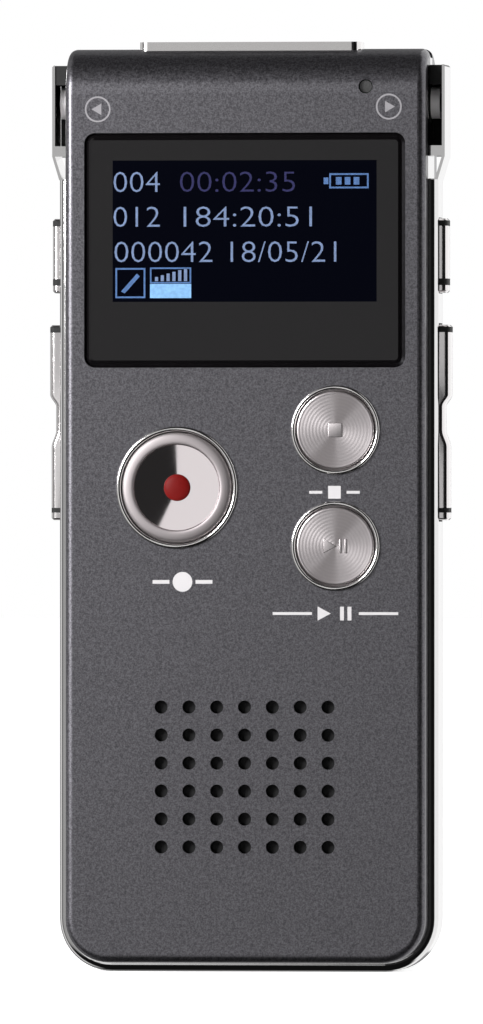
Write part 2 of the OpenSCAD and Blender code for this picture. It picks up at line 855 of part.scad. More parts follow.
// A short key that is pressed straight in, with a groove across its lower end and a flange
// that holds it inside the frame.
module key() {
    out = frame_hw + key_proud;
    foot = key_low + key_groove[0];
    step = key_low + key_groove[1];
    flange_hd = key_w / 2 + flange_lip;
    color("silver") {
        key_slab() polygon([
            [key_flange[1], key_low], [out - end_edge, key_low], [out, key_low + end_edge], [out, foot],
            [out - groove_d, foot], [out - groove_d, step], [out, step], [out, key_high - end_edge],
            [out - end_edge, key_high], [key_flange[1], key_high]
        ]);
        block([key_flange[0], key_y - flange_hd, key_low - flange_lip],
              [key_flange[1], key_y + flange_hd, key_high + flange_lip]);
    }
}
module right_key() { key(); }
module left_key() { on_left() key(); }

// A long key that rocks about a pin across its middle, with a finger dip over the pin.
module rocker() {
    out = frame_hw + rocker_proud;
    low_out = out - 0.15;
    dip = out - 0.64;
    foot = rocker_low + rocker_groove[0];
    step = rocker_low + rocker_groove[1];
    color("silver") {
        key_slab() polygon([
            [key_root, rocker_low], [low_out - end_edge, rocker_low], [low_out, rocker_low + end_edge],
            [low_out, foot], [low_out - groove_d, foot], [low_out - groove_d, step], [low_out, step],
            [low_out, 55.7], [dip, 57.5], [dip, 60], [out, 61.3], [out, rocker_high - end_edge],
            [out - end_edge, rocker_high], [key_root, rocker_high]
        ]);
        translate([rocker_pin_x, key_y, rocker_mid]) rotate([90, 0, 0])
            cylinder(r = rocker_pin_r, h = key_w + 2 * pin_reach, center = true);
    }
}
module right_rocker() { rocker(); }
module left_rocker() { on_left() rocker(); }

front_cover();
rear_cover();
mid_frame();
jack_plate();
record_trim_ring();
stop_trim_ring();
play_trim_ring();
display_lens();
display_gasket();
display_panel();
display_backlight();
display_flex();
indicator_light_pipe();
indicator_led();
speaker_mesh();
speaker_gasket();
speaker_basket();
speaker_cone();
speaker_magnet();
speaker_leads();
main_board();
processor_chip();
memory_chip();
clock_crystal();
small_components();
battery_cell();
battery_board();
battery_leads();
battery_pad();
usb_socket();
usb_tongue();
earphone_jack();
line_in_jack();
left_mic_guard();
right_mic_guard();
left_mic_capsule();
right_mic_capsule();
left_mic_boot();
right_mic_boot();
mic_leads();
record_switch();
stop_switch();
play_switch();
side_key_switches();
rocker_switches();
reset_switch();
board_screws();
cover_screws();
record_button();
record_button_dish();
record_jewel();
record_plunger();
stop_button();
stop_plunger();
play_button();
play_plunger();
left_key();
right_key();
left_rocker();
right_rocker();
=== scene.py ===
"""The visual model of a handheld voice recorder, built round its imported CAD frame."""
import json
import math

import bmesh
import bpy
from mathutils import Matrix, Vector


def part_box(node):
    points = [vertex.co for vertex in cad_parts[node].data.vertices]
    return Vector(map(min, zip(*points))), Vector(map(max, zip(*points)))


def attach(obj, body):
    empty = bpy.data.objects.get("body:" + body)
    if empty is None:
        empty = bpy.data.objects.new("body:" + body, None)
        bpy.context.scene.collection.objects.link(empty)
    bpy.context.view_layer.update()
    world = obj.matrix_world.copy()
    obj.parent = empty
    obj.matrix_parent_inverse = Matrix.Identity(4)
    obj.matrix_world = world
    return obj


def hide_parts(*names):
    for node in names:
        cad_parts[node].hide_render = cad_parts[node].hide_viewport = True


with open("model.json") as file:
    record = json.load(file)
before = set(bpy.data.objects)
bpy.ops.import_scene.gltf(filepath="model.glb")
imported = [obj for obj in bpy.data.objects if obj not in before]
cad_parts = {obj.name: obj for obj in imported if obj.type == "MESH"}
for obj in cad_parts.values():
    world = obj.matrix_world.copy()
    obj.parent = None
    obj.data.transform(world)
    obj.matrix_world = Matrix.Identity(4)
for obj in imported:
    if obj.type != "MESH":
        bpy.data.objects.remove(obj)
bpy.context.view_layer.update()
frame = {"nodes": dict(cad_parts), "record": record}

MM = 0.001
FACE_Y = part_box("front_cover")[0][1] / MM  # the flat front face, in mm
BACK_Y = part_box("rear_cover")[1][1] / MM
BODY_MID = (FACE_Y + BACK_Y) / 2
GROOVE_PITCH, GROOVE_DEEP = 0.36, 0.0012  # turned lines on the stop and play buttons, in mm


def centre(node):
    """The middle of a CAD node's box, in mm."""
    low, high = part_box(node)
    return [(a + b) / 2 / MM for a, b in zip(low, high)]


# ------------------------------------------------------------------ camera
VIEW_MM = 108.56  # height of the object plane that fills the picture, in mm
FOCAL, SENSOR = 600.0, 36.0
CAM_AZIMUTH = math.radians(7)
CAM_RIGHT, CAM_HEIGHT = -1.025, 48.81  # where the camera aims, in mm

# the front face is the plane that fills the picture
distance = (FOCAL * VIEW_MM / SENSOR - FACE_Y) * MM
right = Vector((math.cos(CAM_AZIMUTH), math.sin(CAM_AZIMUTH), 0))
towards = Vector((math.sin(CAM_AZIMUTH), -math.cos(CAM_AZIMUTH), 0))
aim = right * CAM_RIGHT * MM + Vector((0, 0, CAM_HEIGHT * MM))
cam_data = bpy.data.cameras.new("camera")
cam_data.lens = FOCAL
cam_data.sensor_width = SENSOR
cam_data.clip_start, cam_data.clip_end = 0.01, 50
cam = bpy.data.objects.new("camera", cam_data)
cam.location = aim + towards * distance
cam.rotation_euler = (math.radians(90), 0, CAM_AZIMUTH)
bpy.context.scene.collection.objects.link(cam)
bpy.context.scene.camera = cam
bpy.context.scene.view_settings.view_transform = "Standard"


# ------------------------------------------------------------------ node helpers
class Tree:
    """Short calls for building a node tree."""

    def __init__(self, tree):
        self.tree = tree
        self.links = tree.links

    def node(self, kind, **settings):
        made = self.tree.nodes.new("ShaderNode" + kind)
        for key, value in settings.items():
            setattr(made, key, value)
        return made

    def feed(self, socket, value):
        if isinstance(value, bpy.types.NodeSocket):
            self.links.new(value, socket)
        elif value is not None:
            socket.default_value = value

    def math(self, operation, a, b=None, c=None, clamp=False):
        made = self.node("Math", operation=operation, use_clamp=clamp)
        for socket, value in zip(made.inputs, (a, b, c)):
            self.feed(socket, value)
        return made.outputs[0]

    def ramp(self, value, low, high, out_low=0.0, out_high=1.0):
        made = self.node("MapRange", interpolation_type="SMOOTHSTEP")
        for name, v in (("Value", value), ("From Min", low), ("From Max", high),
                        ("To Min", out_low), ("To Max", out_high)):
            self.feed(made.inputs[name], v)
        return made.outputs[0]

    def noise(self, coords, scale, detail=2.0, rough=0.5):
        made = self.node("TexNoise")
        self.feed(made.inputs["Vector"], coords)
        self.feed(made.inputs["Scale"], scale)
        self.feed(made.inputs["Detail"], detail)
        self.feed(made.inputs["Roughness"], rough)
        return made.outputs["Fac"]

    def mix(self, factor, a, b):
        made = self.node("Mix", data_type="RGBA")
        self.feed(made.inputs["Factor"], factor)
        self.feed(made.inputs["A"], a)
        self.feed(made.inputs["B"], b)
        return made.outputs["Result"]

    def coords(self):
        return self.node("TexCoord").outputs["Object"]

    def bump(self, height, strength, distance_mm):
        made = self.node("Bump")
        made.inputs["Strength"].default_value = strength
        made.inputs["Distance"].default_value = distance_mm * MM
        self.feed(made.inputs["Height"], height)
        return made.outputs["Normal"]


def rgba(*c):
    return (c[0], c[1], c[2], 1.0)


def new_material(name, **sockets):
    """A material with one Principled shader, and its tree for adding detail."""
    material = bpy.data.materials.new(name)
    material.use_nodes = True
    tree = Tree(material.node_tree)
    shader = material.node_tree.nodes["Principled BSDF"]
    for key, value in sockets.items():
        shader.inputs[key.replace("_", " ")].default_value = value
    return material, tree, shader


def worn(name, colour, spread, rough, rough_spread, grain_mm, bump=0.0, bump_mm=0.01, **sockets):
    """A material whose colour, roughness and height follow a noise of the given grain size."""
    material, t, shader = new_material(name, **sockets)
    xyz = t.coords()
    fine = t.noise(xyz, 1 / (grain_mm * MM), 3.0, 0.6)
    broad = t.noise(xyz, 1 / (18 * MM), 2.0)
    both = t.math("ADD", t.math("MULTIPLY", fine, 0.6), t.math("MULTIPLY", broad, 0.4))
    dark = rgba(*[c * (1 - spread) for c in colour])
    light = rgba(*[min(1, c * (1 + spread)) for c in colour])
    t.feed(shader.inputs["Base Color"], t.mix(both, dark, light))
    gloss = t.ramp(both, 0.2, 0.8, rough - rough_spread, rough + rough_spread)
    t.feed(shader.inputs["Roughness"], gloss)
    if bump:
        t.feed(shader.inputs["Normal"], t.bump(fine, bump, bump_mm))
    return material


# ------------------------------------------------------------------ materials
def cover_paint():
    """Gunmetal paint with fine flakes under a clear coat."""
    coat = {"Coat_Weight": 0.45, "Coat_Roughness": 0.08}
    material, t, shader = new_material("cover_paint", Metallic=0.95, **coat)
    xyz = t.coords()
    flake = t.noise(xyz, 1 / (0.16 * MM), 2.0, 0.6)
    grain = t.noise(xyz, 1 / (0.34 * MM), 3.0, 0.6)
    tone = t.math("ADD", t.math("MULTIPLY", flake, 0.6), t.math("MULTIPLY", grain, 0.4))
    colour = t.mix(t.ramp(tone, 0.34, 0.66), rgba(0.080, 0.077, 0.086), rgba(0.172, 0.167, 0.183))
    t.feed(shader.inputs["Base Color"], colour)
    t.feed(shader.inputs["Roughness"], t.ramp(tone, 0.3, 0.7, 0.34, 0.44))
    t.feed(shader.inputs["Normal"], t.bump(tone, 0.5, 0.02))
    return material


def spun_metal(name, node, streak_angle, dark, light):
    """Spun metal on one button: fine turned lines with anisotropic gloss, plus a painted dark reflection
    streak in two opposite lobes at the given angle, in the base colour.
    """
    material, t, shader = new_material(name, Metallic=1.0, Anisotropic=0.5, Anisotropic_Rotation=0.25)
    cx, _, cz = centre(node)
    split = t.node("SeparateXYZ")
    t.feed(split.inputs[0], t.coords())
    dx = t.math("SUBTRACT", split.outputs["X"], cx * MM)
    dz = t.math("SUBTRACT", split.outputs["Z"], cz * MM)
    angle = t.math("ARCTAN2", dz, dx)
    # painted reflection: a dark streak through the middle at streak_angle and streak_angle + 180
    # degrees, painted into the base colour
    painted_streak = t.math("COSINE", t.math("MULTIPLY", t.math("SUBTRACT", angle, math.radians(streak_angle)), 2.0))
    radius = t.math("SQRT", t.math("ADD", t.math("MULTIPLY", dx, dx), t.math("MULTIPLY", dz, dz)))
    wobble = t.noise(t.coords(), 1 / (0.5 * MM), 2.0)
    turns = t.math("MULTIPLY", radius, 2 * math.pi / (GROOVE_PITCH * MM))
    phase = t.math("ADD", turns, t.math("MULTIPLY", wobble, 1.6))
    lines = t.math("ADD", t.math("MULTIPLY", t.math("SINE", phase), 0.5), 0.5)
    grain = t.noise(t.coords(), 1 / (0.18 * MM), 2.0, 0.6)
    # the painted dark streak makes up most of the darkening, and the turned lines and random grain are
    # added on top
    painted_streak_and_grain = t.math("MULTIPLY", t.ramp(painted_streak, 0.45, 1.0), 0.8)
    painted_streak_and_grain = t.math("ADD", painted_streak_and_grain, t.math("MULTIPLY", lines, 0.12))
    painted_streak_and_grain = t.math("ADD", painted_streak_and_grain, t.math("MULTIPLY", grain, 0.25), clamp=True)
    t.feed(shader.inputs["Base Color"], t.mix(painted_streak_and_grain, rgba(*light), rgba(*dark)))
    t.feed(shader.inputs["Roughness"], t.ramp(lines, 0.0, 1.0, 0.28, 0.38))
    relief = t.math("ADD", t.math("MULTIPLY", lines, 0.3), grain)
    t.feed(shader.inputs["Normal"], t.bump(relief, 0.2, 0.008))
    tangent = t.node("Tangent", direction_type="RADIAL", axis="Y")
    t.feed(shader.inputs["Tangent"], tangent.outputs[0])
    return material


def screen_glow():
    """The lit area under the window: near black with a navy cast and a fine dot structure."""
    material, t, shader = new_material("screen_dark", Roughness=0.3, Specular_IOR_Level=0.03)
    split = t.node("SeparateXYZ")
    t.feed(split.inputs[0], t.coords())
    dot = 2 * math.pi / (0.22 * MM)
    across = t.math("SINE", t.math("MULTIPLY", split.outputs["X"], dot))
    up = t.math("SINE", t.math("MULTIPLY", split.outputs["Z"], dot))
    cell = t.ramp(t.math("MULTIPLY", across, up), -1.0, 1.0)
    surface = t.mix(cell, rgba(0.0001, 0.0002, 0.001), rgba(0.0003, 0.0005, 0.002))
    glow = t.mix(cell, rgba(0.0001, 0.0003, 0.001), rgba(0.0003, 0.0006, 0.005))
    t.feed(shader.inputs["Base Color"], surface)
    t.feed(shader.inputs["Emission Color"], glow)
    shader.inputs["Emission Strength"].default_value = 0.6
    return material


def glyph_light(name, colour, strength):
    """Lit display segments, with a slight unevenness from dot to dot."""
    material, t, shader = new_material(name, Roughness=0.2)
    patch = t.noise(t.coords(), 1 / (0.35 * MM), 2.0)
    tone = t.mix(t.ramp(patch, 0.3, 0.7), rgba(*[c * 0.8 for c in colour]), rgba(*colour))
    t.feed(shader.inputs["Base Color"], tone)
    t.feed(shader.inputs["Emission Color"], tone)
    shader.inputs["Emission Strength"].default_value = strength
    return material


def woven_mesh():
    """Fine black acoustic cloth."""
    material, t, shader = new_material("mesh_cloth", Roughness=0.85)
    split = t.node("SeparateXYZ")
    t.feed(split.inputs[0], t.coords())
    pitch = 2 * math.pi / (0.12 * MM)
    warp = t.math("SINE", t.math("MULTIPLY", split.outputs["X"], pitch))
    weft = t.math("SINE", t.math("MULTIPLY", split.outputs["Z"], pitch))
    weave = t.math("ADD", t.math("MULTIPLY", t.math("MULTIPLY", warp, weft), 0.5), 0.5)
    colour = t.mix(weave, rgba(0.002, 0.002, 0.002), rgba(0.012, 0.012, 0.013))
    t.feed(shader.inputs["Base Color"], colour)
    t.feed(shader.inputs["Normal"], t.bump(weave, 0.6, 0.03))
    return material


MATERIALS = {
    "cover_paint": cover_paint(),
    "chrome_frame": worn("chrome_frame", (0.80, 0.79, 0.79), 0.03, 0.07, 0.02, 0.8, Metallic=1.0),
    "key_chrome": worn("key_chrome", (0.86, 0.83, 0.83), 0.03, 0.12, 0.03, 0.5, Metallic=1.0),
    "trim_chrome": worn("trim_chrome", (0.86, 0.84, 0.83), 0.03, 0.12, 0.03, 0.5, Metallic=1.0),
    "button_satin": worn("button_satin", (0.41, 0.375, 0.381), 0.06, 0.56, 0.05, 0.12, Metallic=1.0,
                         bump=0.1, bump_mm=0.006),
    "sign_satin": worn("sign_satin", (0.52, 0.485, 0.49), 0.06, 0.42, 0.05, 0.12, Metallic=1.0,
                       bump=0.1, bump_mm=0.006),
    # the stop and play caps carry a painted dark reflection streak at 70 degrees in their base colour
    "stop_spun": spun_metal("stop_spun", "stop_button", 70, (0.47, 0.43, 0.435), (0.70, 0.65, 0.66)),
    "play_spun": spun_metal("play_spun", "play_button", 70, (0.47, 0.43, 0.435), (0.70, 0.65, 0.66)),
    "dish_mirror": worn("dish_mirror", (0.89, 0.82, 0.83), 0.02, 0.07, 0.02, 0.4, Metallic=1.0),
    "jewel_red": worn("jewel_red", (0.155, 0.0045, 0.0038), 0.2, 0.5, 0.06, 0.4,
                      Specular_IOR_Level=0.12),
    "lens_black": worn("lens_black", (0.004, 0.0035, 0.004), 0.15, 0.07, 0.02, 1.5),
    "screen_dark": screen_glow(),
    "light_guide": worn("light_guide", (0.05, 0.05, 0.05), 0.1, 0.15, 0.05, 0.4),
    "black_plastic": worn("black_plastic", (0.012, 0.012, 0.013), 0.3, 0.45, 0.08, 0.15,
                          bump=0.15, bump_mm=0.02),
    "black_rubber": worn("black_rubber", (0.008, 0.008, 0.008), 0.3, 0.7, 0.08, 0.12,
                         bump=0.2, bump_mm=0.02),
    "flex_film": worn("flex_film", (0.45, 0.17, 0.03), 0.15, 0.3, 0.05, 0.5),
    "board_green": worn("board_green", (0.012, 0.12, 0.045), 0.2, 0.35, 0.06, 0.4,
                        bump=0.1, bump_mm=0.02),
    "steel": worn("steel", (0.52, 0.51, 0.50), 0.12, 0.32, 0.08, 0.2, Metallic=1.0,
                  bump=0.1, bump_mm=0.01),
    "mic_silver": worn("mic_silver", (0.90, 0.87, 0.88), 0.05, 0.42, 0.06, 0.2, Metallic=0.15),
    "mesh_cloth": woven_mesh(),
    "battery_foil": worn("battery_foil", (0.58, 0.58, 0.60), 0.06, 0.35, 0.06, 0.6, Metallic=0.8,
                         bump=0.1, bump_mm=0.03),
    "wire": worn("wire", (0.28, 0.02, 0.02), 0.15, 0.4, 0.05, 0.3),
    "foam": worn("foam", (0.02, 0.02, 0.02), 0.4, 0.85, 0.05, 0.1, bump=0.4, bump_mm=0.05),
    "component_tan": worn("component_tan", (0.32, 0.22, 0.13), 0.2, 0.5, 0.08, 0.15),
    "screen_white": glyph_light("screen_white", (0.12, 0.165, 0.28), 0.55),
    "screen_violet": glyph_light("screen_violet", (0.013, 0.013, 0.06), 0.5),
    "screen_blue": glyph_light("screen_blue", (0.055, 0.115, 0.26), 0.5),
    "screen_fill": glyph_light("screen_fill", (0.16, 0.32, 0.54), 0.6),
    "label_ink": worn("label_ink", (0.62, 0.60, 0.61), 0.06, 0.5, 0.06, 0.1),
    "mark_ink": worn("mark_ink", (0.27, 0.26, 0.275), 0.08, 0.5, 0.06, 0.1),
}

for entry in frame["record"]["subparts"]:
    node = frame["nodes"][entry["node"]]
    node.data.materials.clear()
    node.data.materials.append(MATERIALS.get(entry["material_slot"]) or MATERIALS["steel"])


# ------------------------------------------------------------------ mesh helpers
def finish_piece(name, bm, material, body, node=None, sharp=35):
    """Turns a bmesh drawn in mm into a piece that rides on a body."""
    bmesh.ops.recalc_face_normals(bm, faces=bm.faces)
    bmesh.ops.scale(bm, vec=(MM, MM, MM), verts=bm.verts)
    mesh = bpy.data.meshes.new(name)
    bm.to_mesh(mesh)
    bm.free()
    mesh.shade_smooth()
    mesh.set_sharp_from_angle(angle=math.radians(sharp))
    piece = bpy.data.objects.new(name, mesh)
    bpy.context.scene.collection.objects.link(piece)
    mesh.materials.append(MATERIALS[material])
    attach(piece, body)
    if node:
        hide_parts(node)
    return piece


def lathe(at, profile, closed=False, segments=160):
    """Revolves points of (radius, y) in mm about a front-to-back axis through at = (x, z)."""
    bm = bmesh.new()
    rings = []
    for r, y in profile:
        if r < 1e-6:
            rings.append([bm.verts.new((at[0], y, at[1]))])
            continue
        turn = [2 * math.pi * i / segments for i in range(segments)]
        rings.append([bm.verts.new((at[0] + r * math.cos(a), y, at[1] + r * math.sin(a))) for a in turn])
    pairs = list(zip(rings, rings[1:]))
    if closed:
        pairs.append((rings[-1], rings[0]))
    for a, b in pairs:
        for i in range(segments):
            j = (i + 1) % segments
            corners = [a[i % len(a)], a[j % len(a)], b[j % len(b)], b[i % len(b)]]
            corners = list(dict.fromkeys(corners))
            if len(corners) > 2:
                bm.faces.new(corners)
    return bm


def arc(cx, cy, r, start, end, steps):
    """Points on an arc, angles in degrees."""
    angles = [math.radians(start + (end - start) * i / steps) for i in range(steps + 1)]
    return [(cx + r * math.cos(a), cy + r * math.sin(a)) for a in angles]


def prism(outlines, y_front, y_back, round_mm=0.0):
    """Flat shapes drawn in x and z, given a thickness, with their front edges rounded."""
    bm = bmesh.new()
    for outline in outlines:
        front = [bm.verts.new((x, y_front, z)) for x, z in outline]
        back = [bm.verts.new((x, y_back, z)) for x, z in outline]
        face = bm.faces.new(front)
        bm.faces.new(list(reversed(back)))
        for i in range(len(outline)):
            j = (i + 1) % len(outline)
            bm.faces.new([front[i], back[i], back[j], front[j]])
        if round_mm:
            bmesh.ops.bevel(bm, geom=list(face.edges), offset=round_mm, segments=3, profile=0.5,
                            affect="EDGES")
    return bm


def disc(cx, cz, r, steps=48):
    """A round outline."""
    return arc(cx, cz, r, 0, 360 - 360 / steps, steps - 1)


def box_outline(cx, cz, w, h):
    """A rectangle about its middle."""
    x0, x1, z0, z1 = cx - w / 2, cx + w / 2, cz - h / 2, cz + h / 2
    return [(x0, z0), (x1, z0), (x1, z1), (x0, z1)]


def rounded_outline(cx, cz, w, h, r, steps=10):
    """A rectangle with rounded corners."""
    points = []
    for sx, sz, start in ((1, 1, 0), (-1, 1, 90), (-1, -1, 180), (1, -1, 270)):
        points += arc(cx + sx * (w / 2 - r), cz + sz * (h / 2 - r), r, start, start + 90, steps)
    return points


def ring_bm(cx, cz, r_out, r_in, y_front, y_back):
    """A flat printed ring."""
    profile = [(r_in, y_front), (r_out, y_front), (r_out, y_back), (r_in, y_back)]
    return lathe((cx, cz), profile, True, 64)


# ------------------------------------------------------------------ softened CAD edges
def soften(node, width_mm, segments):
    """Rounds the sharp edges of a CAD node with a bevel modifier."""
    bevel = frame["nodes"][node].modifiers.new("soft_edges", "BEVEL")
    bevel.width = width_mm * MM
    bevel.segments = segments
    bevel.limit_method = "ANGLE"
    bevel.angle_limit = math.radians(40)


for node in ("left_mic_guard", "right_mic_guard"):
    soften(node, 0.1, 3)
soften("jack_plate", 0.25, 4)

# ------------------------------------------------------------------ side keys
# the ends of the parts that show, the roundings along and across a key, and the hidden root
KEY_LOW, KEY_HIGH, ROCKER_LOW, ROCKER_HIGH = 72.1, 80.0, 47.95, 68.7
KEY_ROUND, END_ROUND = 0.55, 0.22
KEY_ROOT = 18.52
BAND_PROUD = 0.012
KEY_INSET = 0.02
KEY_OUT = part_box("right_key")[1][0] / MM - KEY_INSET
ROCKER_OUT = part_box("right_rocker")[1][0] / MM - KEY_INSET
KEY_HALF = 1.6
KEY_Y0 = BODY_MID - KEY_HALF
KEY_Y1 = BODY_MID + KEY_HALF
FLANK_LEAN = 0.15  # how much lower the rocker stands below its dip
DIP_DEEP = 0.64


def key_loft(name, body, side, profile, low, high, material, node=None, swell=0.0, ends=END_ROUND):
    """A key between two heights: profile gives how far out it stands at each height."""
    bm = bmesh.new()
    loops = []
    steps = 7
    levels = [(KEY_Y0 - swell, i * 90 / steps) for i in range(steps + 1)]
    levels += [(KEY_Y1 + swell, 90 - i * 90 / steps) for i in range(steps + 1)]
    for index, (y, angle) in enumerate(levels):
        inset = KEY_ROUND * (1 - math.sin(math.radians(angle)))
        back = KEY_ROUND * (1 - math.cos(math.radians(angle)))
        y += back if index <= steps else -back
        end = min(ends, inset)
        points = [(KEY_ROOT, low + end)]
        for x, z in profile:
            eased = ends if z in (low, high) else 0
            points.append((x - inset - eased, min(max(z, low + end), high - end)))
        points += [(KEY_ROOT, high - end)]
        loops.append([bm.verts.new((side * x, y, z)) for x, z in points])
    for a, b in zip(loops, loops[1:]):
        for i in range(len(a)):
            k = (i + 1) % len(a)
            bm.faces.new([a[i], a[k], b[k], b[i]])
    bm.faces.new(loops[0])
    bm.faces.new(loops[-1])
    return finish_piece(name, bm, material, body, node, sharp=28)


def flat_key(low, high, out):
    """A straight key with eased ends."""
    return [(out, low), (out, low + END_ROUND), (out, high - END_ROUND), (out, high)]


def rocker_key(low, high, out):
    """A key with a finger dip across its middle, its flanks eased into the dip."""
    shape = [(out - FLANK_LEAN, low), (out - FLANK_LEAN, low + END_ROUND)]
    flank = ((55.7, out - FLANK_LEAN), (57.5, out - DIP_DEEP), (60.0, out - DIP_DEEP), (61.3, out))
    for (z0, x0), (z1, x1) in (flank[:2], flank[2:]):
        for i in range(13):
            f = i / 12
            ease = f * f * (3 - 2 * f)
            shape.append((x0 + (x1 - x0) * ease, z0 + (z1 - z0) * f))
    return shape + [(out, high - END_ROUND), (out, high)]


for side, hand in ((-1, "left"), (1, "right")):
    for kind, low, high, out, outline in (("key", KEY_LOW, KEY_HIGH, KEY_OUT, flat_key),
                                          ("rocker", ROCKER_LOW, ROCKER_HIGH, ROCKER_OUT, rocker_key)):
        node = hand + "_" + kind
        key_loft(node + "_cap", node, side, outline(low, high, out), low, high,
                 "key_chrome", node)
        foot = (low + 0.8, low + (1.5 if kind == "key" else 1.3))
        crown = (high - 0.8, high - 0.22)
        lean = FLANK_LEAN if kind == "rocker" else 0.0
        for end, (a, b), reach in (("foot", foot, out - lean + BAND_PROUD),
                                   ("crown", crown, out + BAND_PROUD)):
            band = [(reach, a), (reach, b)]
            key_loft(node + "_" + end, node, side, band, a, b,
                     "black_rubber", None, BAND_PROUD, 0.0)

# ------------------------------------------------------------------ microphones
for side, hand in ((-1, "left"), (1, "right")):
    low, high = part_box(hand + "_mic_capsule")
    cap_z = (low[2] + high[2]) / 2 / MM
    cap_r = (high[2] - low[2]) / 2 / MM
    tip = max(abs(low[0]), abs(high[0])) / MM
    proud, sunk = tip + 0.03, tip - 0.2
    bm = lathe((0, 0), [(0, proud), (cap_r * 0.62, proud), (cap_r * 0.66, sunk), (0, sunk)], False, 64)
    turn = Matrix.Rotation(math.radians(-90 * side), 4, "Z")
    bmesh.ops.transform(bm, matrix=Matrix.Translation((0, BODY_MID, cap_z)) @ turn, verts=bm.verts)
    finish_piece(hand + "_mic_felt", bm, "black_rubber", "case")

# ------------------------------------------------------------------ trim rings
def trim_ring(node):
    """A turned ring with a half-round crest."""
    low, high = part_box(node)
    cx, _, cz = centre(node)
    r_out = (high[0] - low[0]) / 2 / MM
    wall = 0.53 if node == "record_trim_ring" else 0.47
    half = wall / 2
    rest, sunk = FACE_Y - 0.005, FACE_Y + 0.9
    profile = [(r_out - wall, sunk)] + arc(r_out - half, low[1] / MM + half, half, 180, 360, 14)
    profile += [(r_out, rest), (r_out - 0.2, rest), (r_out - 0.2, sunk)]
    bm = lathe((cx, cz), profile, True)
    finish_piece(node + "_turned", bm, "trim_chrome", "case", node)


for node in ("record_trim_ring", "stop_trim_ring", "play_trim_ring"):
    trim_ring(node)

# ------------------------------------------------------------------ record button
rec_x, _, rec_z = centre("record_button")
rec_low, rec_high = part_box("record_button")
rec_front, rec_back = rec_low[1] / MM, rec_high[1] / MM
REC_R, DISH_R, JEWEL_R = 5.85, 4.6, 1.45


def record_button():
    """The cap: a flat satin crown round the dish, with a flange behind the cover."""
    edge = FACE_Y - 0.05
    lip = [(DISH_R, FACE_Y + 0.75), (DISH_R, rec_front + 0.14)]
    lip += arc(DISH_R + 0.12, rec_front + 0.14, 0.12, 180, 250, 4)
    crown = [(DISH_R + 0.3, rec_front), (REC_R - 0.42, rec_front + 0.06)]
    crown += [(REC_R - 0.22, rec_front + 0.12), (REC_R - 0.07, rec_front + 0.22), (REC_R, edge)]
    rear = [(REC_R, FACE_Y + 1.3), (6.6, FACE_Y + 1.3), (6.6, rec_back), (0, rec_back)]
    front = [(0, FACE_Y + 0.75)]
    return lathe((rec_x, rec_z), front + lip + crown + rear)


def record_dish():
    """A shallow polished cone with a rolled rim."""
    rim_y, foot_y = rec_front + 0.16, rec_front + 0.62
    floor = FACE_Y + 0.74
    profile = [(JEWEL_R - 0.02, floor)]
    steps = 16
    for i in range(steps + 1):
        f = i / steps
        r = JEWEL_R - 0.02 + (DISH_R - 0.05 - JEWEL_R) * f
        profile.append((r, foot_y + (rim_y - foot_y) * (0.8 * f + 0.2 * f * f)))
    profile += [(DISH_R - 0.02, rim_y + 0.03), (DISH_R - 0.02, floor)]
    return lathe((rec_x, rec_z), profile, True)


def record_jewel():
    """The red dome in the middle."""
    top = rec_front + 0.2
    profile = [(0, top)]
    steps = 14
    for i in range(1, steps + 1):
        a = math.radians(90 * i / steps)
        profile.append(((JEWEL_R - 0.03) * math.sin(a), top + 0.42 * (1 - math.cos(a))))
    profile += [(JEWEL_R - 0.03, FACE_Y + 0.74), (0, FACE_Y + 0.74)]
    return lathe((rec_x, rec_z), profile)


finish_piece("record_button_cap", record_button(), "button_satin", "record",
             "record_button")
finish_piece("record_dish", record_dish(), "dish_mirror", "record", "record_button_dish")
finish_piece("record_lens", record_jewel(), "jewel_red", "record", "record_jewel")

# ------------------------------------------------------------------ stop and play buttons
CAP_R = 4.15
SIGN_H = 1.5


def spun_cap(at, back):
    """A turned cap with real concentric grooves and a rolled edge."""
    face = FACE_Y - 0.2
    profile = [(0, face)]
    steps = int((CAP_R - 0.35) / GROOVE_PITCH * 8)
    for i in range(1, steps + 1):
        r = (CAP_R - 0.35) * i / steps
        profile.append((r, face + GROOVE_DEEP * (1 - math.cos(2 * math.pi * r / GROOVE_PITCH))))
    profile += arc(CAP_R - 0.22, face + 0.2, 0.22, 270, 360, 6)
    profile += [(CAP_R, FACE_Y + 1.3), (5.0, FACE_Y + 1.3), (5.0, back), (0, back)]
    return lathe(at, profile)


for node, body, material in (("stop_button", "stop", "stop_spun"), ("play_button", "play", "play_spun")):
    cx, _, cz = centre(node)
    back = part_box(node)[1][1] / MM
    finish_piece(node + "_cap", spun_cap((cx, cz), back), material, body, node)
    sign = [rounded_outline(cx, cz, SIGN_H, SIGN_H, 0.1, 3)]
    if body == "play":
        sign = [[(cx - 1.24, cz - SIGN_H / 2), (cx + 0.15, cz), (cx - 1.24, cz + SIGN_H / 2)],
                box_outline(cx + 0.55, cz, 0.26, SIGN_H), box_outline(cx + 1.12, cz, 0.26, SIGN_H)]
    bm = prism(sign, FACE_Y - 0.31, FACE_Y - 0.15, 0.06)
    finish_piece(body + "_sign", bm, "sign_satin", body)

# ------------------------------------------------------------------ display window
lens_low, lens_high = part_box("display_lens")
LENS_X, _, LENS_Z = centre("display_lens")
LENS_W = (lens_high[0] - lens_low[0]) / MM
LENS_H = (lens_high[2] - lens_low[2]) / MM
ACTIVE_X, ACTIVE_Z, ACTIVE_W, ACTIVE_H = 0.0, 78.6, 28.2, 15.0
BEVEL_W, BEVEL_DEEP = 0.72, 0.42


